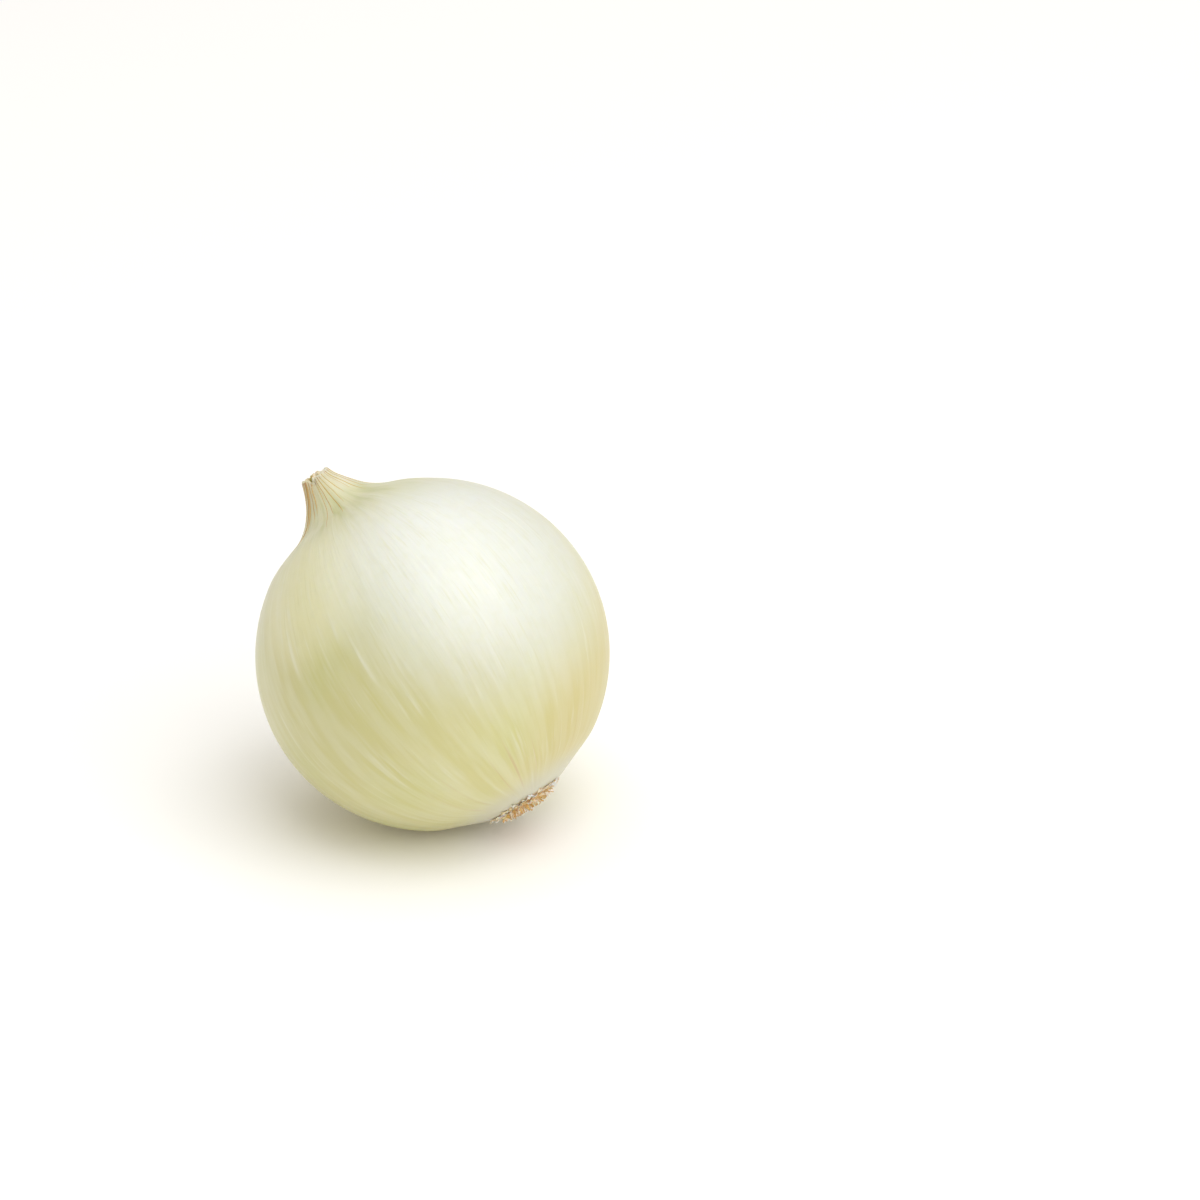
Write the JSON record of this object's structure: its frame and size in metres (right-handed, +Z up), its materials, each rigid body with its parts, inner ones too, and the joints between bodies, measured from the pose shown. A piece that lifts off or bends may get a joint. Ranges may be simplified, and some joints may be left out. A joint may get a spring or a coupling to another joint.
{
  "type": "pearl onion",
  "caption": "Round white pearl onion with a trimmed neck and a dried root plate, lying on its side on a small flat spot.",
  "frame": {"origin": "bottom centre of the box, in the middle of the flat spot that the onion rests on", "axes": "+Z is up; the onion's own axis lies in the XZ plane and leans from upright towards -X, so the neck is at the upper -X side and the root plate at the lower +X side; +Y is the side away from a viewer at -Y"},
  "size_m": [0.03, 0.0299, 0.0296],
  "materials": {
    "pearl_flesh": "smooth, pearly and slightly see-through fleshy leaf, ivory with faint yellow-green streaks",
    "young_leaf": "soft satin yellow-green leaf, cut across",
    "dried_root": "dry, rough, tan to golden-brown root stubs on a corky disc"
  },
  "bodies": {
    "root": {"bulb": "pearl_flesh", "inner_leaf": "young_leaf", "root_plate": "dried_root"}
  },
  "joints": []
}
